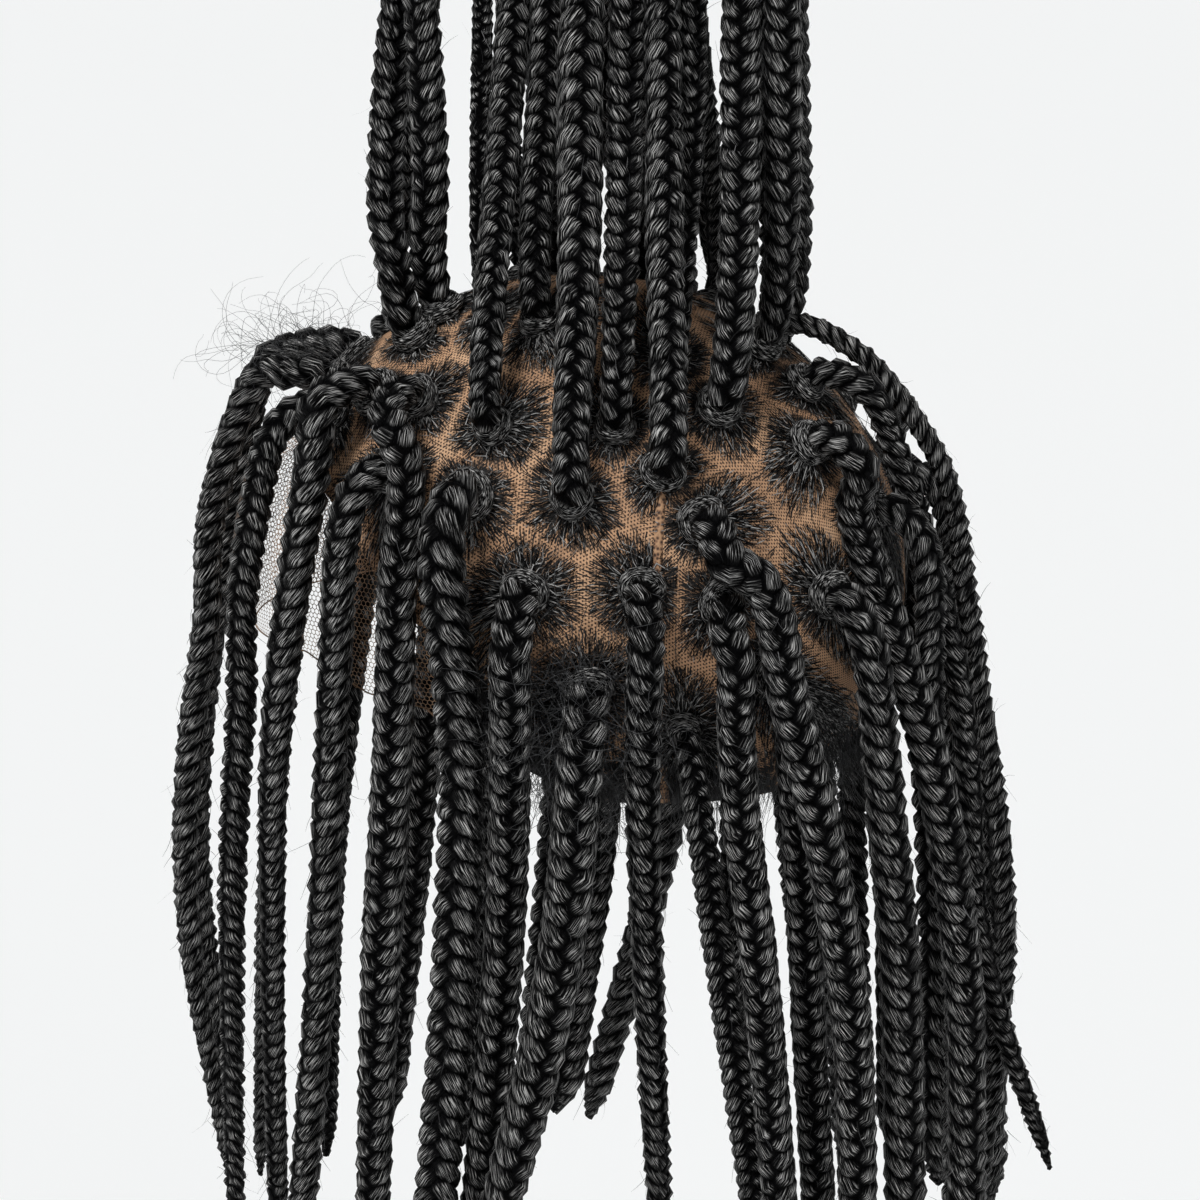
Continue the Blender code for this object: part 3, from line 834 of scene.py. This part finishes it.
def section_hair(name, roots, between, material, random):
    """Hair knotted over each section and combed to that section's root, piling up as it nears it."""
    directions, places, radii = root_places(roots)
    count = int(4.0 * math.pi * MEAN_HEAD_RADIUS**2 * KNOTS_PER_MM2)
    knots = unit(random.normal(0.0, 1.0, (count, 3)))
    around, down = cap_angles(knots)
    wanted = down < line_down(HAIRLINE, around) + random.uniform(-1.0, 1.0, count)
    knots = knots[wanted & (knots[:, 1] > between[0]) & (knots[:, 1] < between[1])]
    spots, _ = on_cap(knots, np.zeros(len(knots)))
    reach = np.linalg.norm(spots[:, None] - places[None], axis=2)
    order = np.argsort(reach, axis=1)
    nearest = order[:, 0]
    lines = np.arange(len(knots))
    margin = reach[lines, order[:, 1]] - reach[lines, nearest]
    own = reach[lines, nearest]
    chosen = (margin > PARTING * 2.0) & (own > radii[nearest] * 0.9)
    chosen &= (margin < PARTING_ZONE) | (random.uniform(0.0, 1.0, len(knots)) < INNER_SHARE)
    knots, nearest, own, margin = knots[chosen], nearest[chosen], own[chosen], margin[chosen]
    # Each hair runs from its knot towards its root, and the ones by a parting stop at different places
    count = len(knots)
    share = np.array([0.0, 0.38, 0.74, 1.0])[None, :]
    target = directions[nearest]
    wander = np.cross(knots, target)
    wander = unit(wander) * random.normal(0.0, 0.022, (count, 1))
    stop = 1.0 - np.clip(0.55 * radii[nearest] / own, 0.0, 0.6)[:, None]
    stop = stop * np.where(margin[:, None] < PARTING_ZONE, random.uniform(0.4, 1.0, (count, 1)), 1.0)
    t = share * stop
    path = knots[:, None] * (1 - t[..., None]) + target[:, None] * t[..., None]
    path = unit(path + wander[:, None] * np.sin(math.pi * share)[..., None])
    # How high each hair lies, which grows as more of them meet
    stack = random.uniform(0.0, 1.0, (count, 1))
    pile = 1.25 + 2.6 * stack * t**1.6 + 2.4 * smooth_step(t, 0.72, 1.0)
    pile = pile + random.uniform(-0.1, 0.25, (count, 1)) * np.sin(math.pi * share)
    paths, outward = on_cap(path, pile)
    along = unit(np.gradient(paths, axis=1))
    side = unit(np.cross(along, outward))
    lean = random.normal(0.0, 0.45, (count, 1, 1))
    side = unit(side * np.cos(lean) + outward * np.sin(lean))
    widths = SECTION_HAIR_WIDTH * np.array([0.7, 1.0, 1.1, 0.9])[None, :]
    widths = widths * random.uniform(0.7, 1.35, (count, 1))
    vertices, faces, uv = hair_ribbons(paths, side, widths, own)
    new_piece(name, vertices, faces, material, uv=uv, crest=np.full(len(uv), SECTION_CREST))


def root_wraps(roots, material, random):
    """Hair wound round the base of each plait: a low coil that starts on the lace."""
    parts = []
    for place, outward, radius in roots:
        first = unit(np.cross(outward, unit(random.normal(0.0, 1.0, 3))))
        second = np.cross(outward, first)
        share = np.linspace(0.0, 1.0, 40)
        turn = 2.0 * math.pi * WRAP_TURNS * random.uniform(0.8, 1.2) * share * random.choice([-1.0, 1.0])
        reach = radius * (0.98 - 0.30 * share) + 0.3 * np.sin(3.0 * turn)
        height = 0.6 + WRAP_RISE * share
        path = place + first * (np.cos(turn) * reach)[:, None] + second * (np.sin(turn) * reach)[:, None]
        path = path + outward * height[:, None]
        thick = WRAP_THICKNESS * (0.55 + 0.45 * np.sin(math.pi * np.clip(share, 0.06, 0.94)))
        _, side, deep = carried_frame(path, outward)
        corner = 2.0 * math.pi * np.arange(TUBE_SIDES) / TUBE_SIDES
        ring = side[:, None] * np.cos(corner)[None, :, None] + deep[:, None] * np.sin(corner)[None, :, None]
        vertices = (path[:, None] + ring * thick[:, None, None]).reshape(-1, 3)
        around = np.minimum(corner, 2.0 * math.pi - corner) * WRAP_THICKNESS
        distance = np.abs(turn) * radius
        u = np.broadcast_to(around[None, :] + random.uniform(0.0, 500.0), (len(path), TUBE_SIDES))
        v = np.broadcast_to(distance[:, None], (len(path), TUBE_SIDES))
        uv = np.stack([u, v], -1).reshape(-1, 2)
        parts.append((vertices, grid_faces(len(path), TUBE_SIDES, True), uv))
    vertices, faces, uv = join_parts(parts)
    new_piece("root_wraps", vertices, faces, material, uv=uv)


def wandering_hairs(starts, headings, lengths, kind, random):
    """Loose hairs that droop, and curl more and more as they go."""
    heading = unit(headings + random.normal(0.0, 0.15, headings.shape))
    axis = unit(random.normal(0.0, 1.0, headings.shape))
    path = [starts]
    turn = kind["curl"] * random.uniform(0.3, 1.0, (len(starts), 1))
    for step in range(kind["points"] - 1):
        grown = 0.3 + 1.4 * step / kind["points"]
        heading = unit(heading + np.cross(axis, heading) * turn * grown - UP * kind["drop"])
        axis = unit(axis + random.normal(0.0, 0.35, headings.shape))
        path.append(path[-1] + heading * (lengths / (kind["points"] - 1))[:, None])
    return np.stack(path, axis=1)


def clear_of_cap(paths):
    """Lifts loose hairs that would pass through the lace."""
    directions = unit((paths - CAP_CENTRE) / SEMI_AXES)
    surface, outward = on_cap(directions, np.full(directions.shape[:-1], 1.3))
    depth = ((paths - surface) * outward).sum(-1)
    return paths + outward * np.maximum(-depth, 0.0)[..., None]


def loose_hair(name, kind, starts, headings, material, random, reach=math.inf):
    """A piece of loose hairs. Those that pass reach, sideways from the middle of the head, are left out."""
    lengths = random.uniform(*kind["lengths"], kind["count"])
    paths = clear_of_cap(wandering_hairs(starts, headings, lengths, kind, random))
    paths = paths[np.abs(paths[..., 0]).max(axis=1) < reach]
    taper = np.linspace(1.0, 0.45, kind["points"])[None, :]
    radii = np.broadcast_to(kind["thick"] / 2.0 * taper, paths.shape[:2])
    vertices, faces, uv = hair_wires(paths, radii)
    new_piece(name, vertices, faces, material, uv=uv)


def baby_hair(name, side, material, random):
    """Short fine hair at the edge in front of and above the ear, in a loose tangle."""
    count = BABY_HAIR["count"]
    around = random.normal(97.0, 6.0, count) * side
    down = random.normal(103.0, 8.0, count)
    directions = cap_directions(around, np.minimum(down, line_down(CAP_EDGE, around) - 1.0))
    starts, outward = on_cap(directions, np.full(count, 1.4))
    headings = unit(outward * 1.3 + random.normal(0.0, 0.55, (count, 3)) - UP * 0.3)
    loose_hair(name, BABY_HAIR, starts, headings, material, random, BABY_HAIR_REACH)


def edge_wisps(material, random):
    """Fine hairs that hang below the cap's edge behind the temples, and over the front margin."""
    count = EDGE_WISPS["count"]
    behind = random.uniform(80.0, 280.0, count - FRONT_WISPS)
    front = random.uniform(-75.0, 75.0, FRONT_WISPS)
    around = (np.concatenate([behind, front]) + 180.0) % 360.0 - 180.0
    sides = np.abs(around) > TEMPLE
    down = np.where(sides, line_down(CAP_EDGE, around) - 1.5, line_down(HAIRLINE, around))
    down = down - random.uniform(0.0, 1.0, count) * np.where(sides, 14.0, 3.0)
    starts, outward = on_cap(cap_directions(around, down), np.full(count, 1.2))
    headings = unit(-UP + outward * 0.12 + random.normal(0.0, 0.28, (count, 3)))
    loose_hair("edge_wisps", EDGE_WISPS, starts, headings, material, random)


def brow_curls(material, random):
    """Curly hairs that have sprung out of the foremost plaits, where they arch over the forehead."""
    spread = random.normal(0.0, 1.0, (BROW_CURLS["count"], 3)) * np.array([5.0, 11.0, 3.0])
    starts = np.array(BROW_CURLS_START) + spread
    headings = unit(np.array([0.25, -0.8, 0.5]) + random.normal(0.0, 0.5, starts.shape))
    loose_hair("brow_curls", BROW_CURLS, starts, headings, material, random)


def tie_elastic(node, bunch, material):
    """A braided elastic wound three times round a bunch, drawn tight against its strands."""
    low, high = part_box(node)
    height = (low[2] + high[2]) / 2.0 / MM
    parts = []
    for turn, rise in enumerate((-ELASTIC_THICKNESS, 0.0, ELASTIC_THICKNESS)):
        level = bunch[np.abs(bunch[:, 2] - height - rise) < 3.0][:, :2]
        angles = np.linspace(0.0, 2.0 * math.pi, ELASTIC_POINTS, endpoint=False)
        outward = np.stack([np.cos(angles), np.sin(angles)], axis=-1)
        hull = level[np.argmax(level @ outward.T, axis=0)] + outward * 0.35 * ELASTIC_THICKNESS
        for _ in range(6):
            hull = (np.roll(hull, 1, axis=0) + 2.0 * hull + np.roll(hull, -1, axis=0)) / 4.0
        wobble = height + rise + 0.25 * np.sin(2.0 * angles + 2.0 * turn)
        path = np.column_stack([hull, wobble])
        along = unit(np.roll(path, -1, axis=0) - np.roll(path, 1, axis=0))
        side = unit(np.cross(along, UP))
        corner = 2.0 * math.pi * np.arange(TUBE_SIDES) / TUBE_SIDES
        ring = side[:, None] * np.cos(corner)[None, :, None] + UP * np.sin(corner)[None, :, None]
        vertices = (path[:, None] + ring * ELASTIC_THICKNESS / 2.0).reshape(-1, 3)
        faces = grid_faces(len(path), TUBE_SIDES, True)
        first = np.arange(TUBE_SIDES)
        last = first + (len(path) - 1) * TUBE_SIDES
        closing = np.stack([last, np.roll(last, -1), np.roll(first, -1), first], axis=-1)
        parts.append((vertices, np.vstack([faces, closing]), np.zeros((len(vertices), 2))))
    vertices, faces, uv = join_parts(parts)
    new_piece(node + "_elastic", vertices, faces, material, (node,), uv)


# Studio


def look_at(thing, target):
    """Turns a camera or light to face a place."""
    thing.rotation_euler = (Vector(target) - thing.location).to_track_quat("-Z", "Y").to_euler()


def add_camera():
    """The camera, placed so that the cap's centre falls on its pixel at the wanted scale."""
    azimuth, elevation = math.radians(VIEW_AZIMUTH), math.radians(VIEW_ELEVATION)
    level = np.array([math.sin(azimuth), -math.cos(azimuth), 0.0])
    back = level * math.cos(elevation) + UP * math.sin(elevation)
    right = np.array([math.cos(azimuth), math.sin(azimuth), 0.0])
    up = np.cross(back, right)
    middle = IMAGE_SIZE / 2.0
    target = CAP_CENTRE + right * (middle - CAP_CENTRE_PIXEL[0]) / PIXELS_PER_MM
    target = target - up * (middle - CAP_CENTRE_PIXEL[1]) / PIXELS_PER_MM
    data = bpy.data.cameras.new("camera")
    data.sensor_width = SENSOR
    data.lens = SENSOR * PIXELS_PER_MM * VIEW_DISTANCE / IMAGE_SIZE
    data.clip_end = 50.0
    camera = bpy.data.objects.new("camera", data)
    camera.location = (target + back * VIEW_DISTANCE) * MM
    look_at(camera, target * MM)
    bpy.context.scene.collection.objects.link(camera)
    bpy.context.scene.camera = camera


def add_studio():
    """A pale floor, a pale surround and three soft lights."""
    floor_mesh = bpy.data.meshes.new("floor")
    work = bmesh.new()
    bmesh.ops.create_grid(work, x_segments=2, y_segments=2, size=FLOOR_HALF_SIZE)
    work.to_mesh(floor_mesh)
    work.free()
    floor = bpy.data.objects.new("floor", floor_mesh)
    floor.location = (0.0, 0.0, FLOOR_LEVEL)
    paint, _, shader = new_material("pale_matt_paint")
    shader.inputs["Base Color"].default_value = linear("#fbfcfc")
    shader.inputs["Roughness"].default_value = 0.9
    floor_mesh.materials.append(paint)
    bpy.context.scene.collection.objects.link(floor)
    world = bpy.data.worlds.new("studio")
    world.use_nodes = True
    surround = world.node_tree.nodes["Background"]
    surround.inputs["Color"].default_value = linear("#f4f7fa")
    surround.inputs["Strength"].default_value = SURROUND_STRENGTH
    bpy.context.scene.world = world
    for name, place, width, strength in SUNS:
        data = bpy.data.lights.new(name, "SUN")
        data.angle = math.radians(width)
        data.energy = strength
        sun = bpy.data.objects.new(name, data)
        sun.location = place
        look_at(sun, SUNS_AIM)
        bpy.context.scene.collection.objects.link(sun)
    bpy.context.scene.view_settings.view_transform = "Standard"


def build():
    """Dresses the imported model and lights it."""
    materials = {
        "plait": crimped_modacrylic(),
        "loose": loose_modacrylic(),
        "lace": knotted_lace(),
        "net": sheer_net(),
        "seam": folded_seam(),
        "elastic": woven_elastic(),
    }
    add_camera()
    plaits = sorted(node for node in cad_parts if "plait" in node)
    fuzz, roots, raised = [], [], []
    for seed, node in enumerate(plaits):
        fibres, root, strands = make_plait(node, materials, 100 + seed)
        fuzz.append(fibres)
        roots.append(root)
        if "raised" in node:
            raised.append(strands)
    vertices, faces, uv = join_parts(fuzz)
    new_piece("plait_fuzz", vertices, faces, materials["loose"], uv=uv)
    lace_ground("front_lace_ground", False, roots, materials["lace"], "front_lace_panel")
    lace_ground("back_lace_ground", True, roots, materials["lace"], "back_lace_panel")
    net_margin(materials["net"])
    edge_cord(materials["net"])
    seam_ridge(materials["seam"])
    random = np.random.default_rng(7)
    front_end = SEAM_BACK / CAP_HALF_LENGTH - SEAM_CLEAR
    back_start = SEAM_BACK / CAP_HALF_LENGTH + SEAM_CLEAR
    section_hair("front_section_hair", roots, (-1.0, front_end), materials["plait"], random)
    section_hair("back_section_hair", roots, (back_start, 1.0), materials["plait"], random)
    root_wraps(roots, materials["plait"], random)
    baby_hair("left_baby_hair", 1.0, materials["loose"], random)
    baby_hair("right_baby_hair", -1.0, materials["loose"], random)
    edge_wisps(materials["loose"], random)
    brow_curls(materials["loose"], random)
    for node in ("front_tie", "middle_tie", "back_tie"):
        low, high = (np.array(corner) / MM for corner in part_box(node))
        inside = [strands for strands in raised if low[1] < strands[np.argmax(strands[:, 2]), 1] < high[1]]
        tie_elastic(node, np.vstack(inside), materials["elastic"])
    add_studio()


def corners(box):
    return [list(corner) for corner in box]


build()
bpy.context.view_layer.update()
